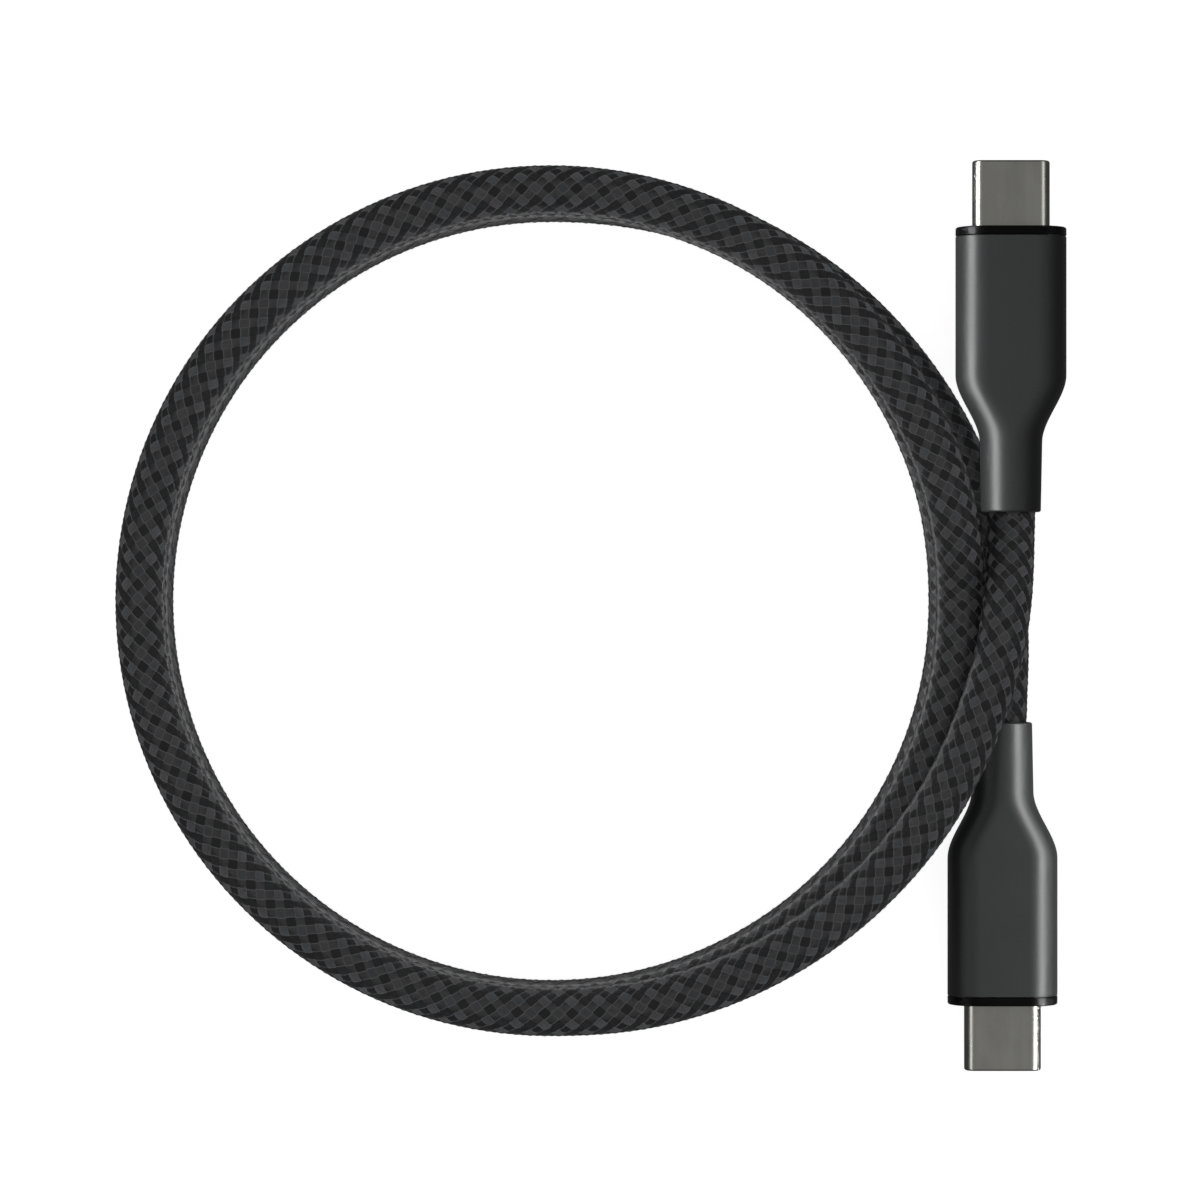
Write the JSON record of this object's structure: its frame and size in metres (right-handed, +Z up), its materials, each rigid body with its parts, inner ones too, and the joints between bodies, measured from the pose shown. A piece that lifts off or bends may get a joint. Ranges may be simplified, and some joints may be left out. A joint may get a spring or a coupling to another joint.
{
  "type": "charging cable",
  "caption": "Coiled charging cable in a dark woven braid, with a slim moulded plug and oval metal connector shell on each end.",
  "frame": {"origin": "on the plane the cable lies on, midway between the two plugs: halfway between their axes across and halfway between the tips of their metal shells along", "axes": "+Z up from the plane it lies on; +Y along plug A, out of its metal shell; the coil lies on the -X side and plug B points to -Y"},
  "size_m": [0.1007, 0.0972, 0.0157],
  "materials": {
    "braid": "woven nylon braid in black and dark grey yarns",
    "housing": "satin moulded plastic",
    "bezel": "gloss",
    "plated_steel": "nickel plated, satin",
    "insulator": "moulded",
    "gold_plate": "gold flash",
    "spring_steel": "bright stamped",
    "circuit_board": "solder mask on glass epoxy",
    "chip": "moulded package",
    "ceramic": "fired ceramic",
    "tinned_steel": "tinned",
    "inner_mould": "moulded",
    "wire_power": "insulated wire",
    "wire_ground": "insulated wire",
    "wire_control": "insulated wire",
    "wire_data_plus": "insulated wire",
    "wire_data_minus": "insulated wire",
    "bush": "soft moulded"
  },
  "bodies": {
    "root": {"cable_lead_a": "braid", "cable_coil": "braid", "cable_lead_b": "braid", "plug_a_housing": "housing", "plug_a_front_bezel": "bezel", "plug_a_connector_shell": "plated_steel", "plug_a_contact_insulator": "insulator", "plug_a_upper_contacts": "gold_plate", "plug_a_lower_contacts": "gold_plate", "plug_a_latch_plate": "spring_steel", "plug_a_upper_ground_spring": "spring_steel", "plug_a_lower_ground_spring": "spring_steel", "plug_a_paddle_card": "circuit_board", "plug_a_marker_chip": "chip", "plug_a_supply_capacitor": "ceramic", "plug_a_upper_shield_cover": "tinned_steel", "plug_a_lower_shield_cover": "tinned_steel", "plug_a_inner_mould": "inner_mould", "plug_a_power_wire": "wire_power", "plug_a_ground_wire": "wire_ground", "plug_a_control_wire": "wire_control", "plug_a_data_plus_wire": "wire_data_plus", "plug_a_data_minus_wire": "wire_data_minus", "plug_a_crimp_ferrule": "tinned_steel", "plug_a_neck_bush": "bush", "plug_a_cable_end": "braid", "plug_b_housing": "housing", "plug_b_front_bezel": "bezel", "plug_b_connector_shell": "plated_steel", "plug_b_contact_insulator": "insulator", "plug_b_upper_contacts": "gold_plate", "plug_b_lower_contacts": "gold_plate", "plug_b_latch_plate": "spring_steel", "plug_b_upper_ground_spring": "spring_steel", "plug_b_lower_ground_spring": "spring_steel", "plug_b_paddle_card": "circuit_board", "plug_b_supply_capacitor": "ceramic", "plug_b_upper_shield_cover": "tinned_steel", "plug_b_lower_shield_cover": "tinned_steel", "plug_b_inner_mould": "inner_mould", "plug_b_power_wire": "wire_power", "plug_b_ground_wire": "wire_ground", "plug_b_control_wire": "wire_control", "plug_b_data_plus_wire": "wire_data_plus", "plug_b_data_minus_wire": "wire_data_minus", "plug_b_crimp_ferrule": "tinned_steel", "plug_b_neck_bush": "bush", "plug_b_cable_end": "braid"}
  },
  "joints": []
}
